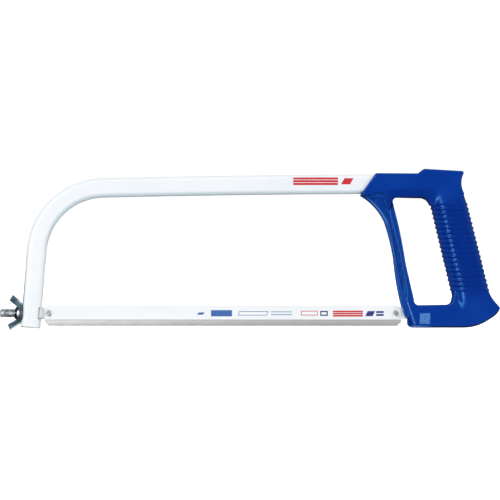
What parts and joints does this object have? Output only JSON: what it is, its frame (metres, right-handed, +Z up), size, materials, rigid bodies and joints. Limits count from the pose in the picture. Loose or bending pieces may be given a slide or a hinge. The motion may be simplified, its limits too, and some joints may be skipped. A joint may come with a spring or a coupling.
{
  "type": "hacksaw",
  "caption": "Hand hacksaw: bent tube frame, cast D-shaped handle with a ribbed grip, and a pinned blade tensioned by a stud and wing nut.",
  "frame": {"origin": "middle of the saw's length and thickness, level with its lowest point, which is the tip of the wing nut's lower wing", "axes": "+X towards the handle, +Y to the blade's blind side, +Z up from the teeth to the top of the frame"},
  "size_m": [0.4328, 0.0242, 0.1401],
  "materials": {
    "white_powder_coat": "smooth white gloss powder coat",
    "blue_painted_casting": "die-cast aluminium in thick gloss blue paint",
    "zinc_steel": "bright zinc-plated steel",
    "dark_zinc": "dark zinc plate with a blue-green cast",
    "blade_paint": "satin white paint with small printed colour blocks",
    "bare_blade_steel": "bare grey tool steel, ground teeth"
  },
  "bodies": {
    "frame": {"frame_tube": "white_powder_coat", "handle": "blue_painted_casting", "collar_rivets": "zinc_steel", "rear_lug": "zinc_steel", "rear_lug_pin": "zinc_steel", "rear_blade_pin": "zinc_steel"},
    "tension_stud": {"tension_stud": "zinc_steel", "front_blade_pin": "zinc_steel"},
    "wing_nut": {"wing_nut": "dark_zinc"},
    "blade": {"blade_back": "blade_paint", "blade_tooth_strip": "bare_blade_steel"}
  },
  "joints": [
    {"name": "wing_nut_spin", "type": "hinge", "parent": "frame", "child": "wing_nut", "pos_m": [-0.20056, 0, 0.015], "axis": [-0.9968, 0, 0.0802], "range_deg": [0, 360]},
    {"name": "stud_slide", "type": "slide", "parent": "frame", "child": "tension_stud", "axis": [1, 0, 0], "range_m": [0, 0.00141]},
    {"name": "blade_lift_off", "type": "slide", "parent": "frame", "child": "blade", "axis": [0, -1, 0], "range_m": [0, 0.01]}
  ],
  "couplings": [
    {"joint": "stud_slide", "follows": "wing_nut_spin", "m_per_rad": 0.0002246}
  ]
}
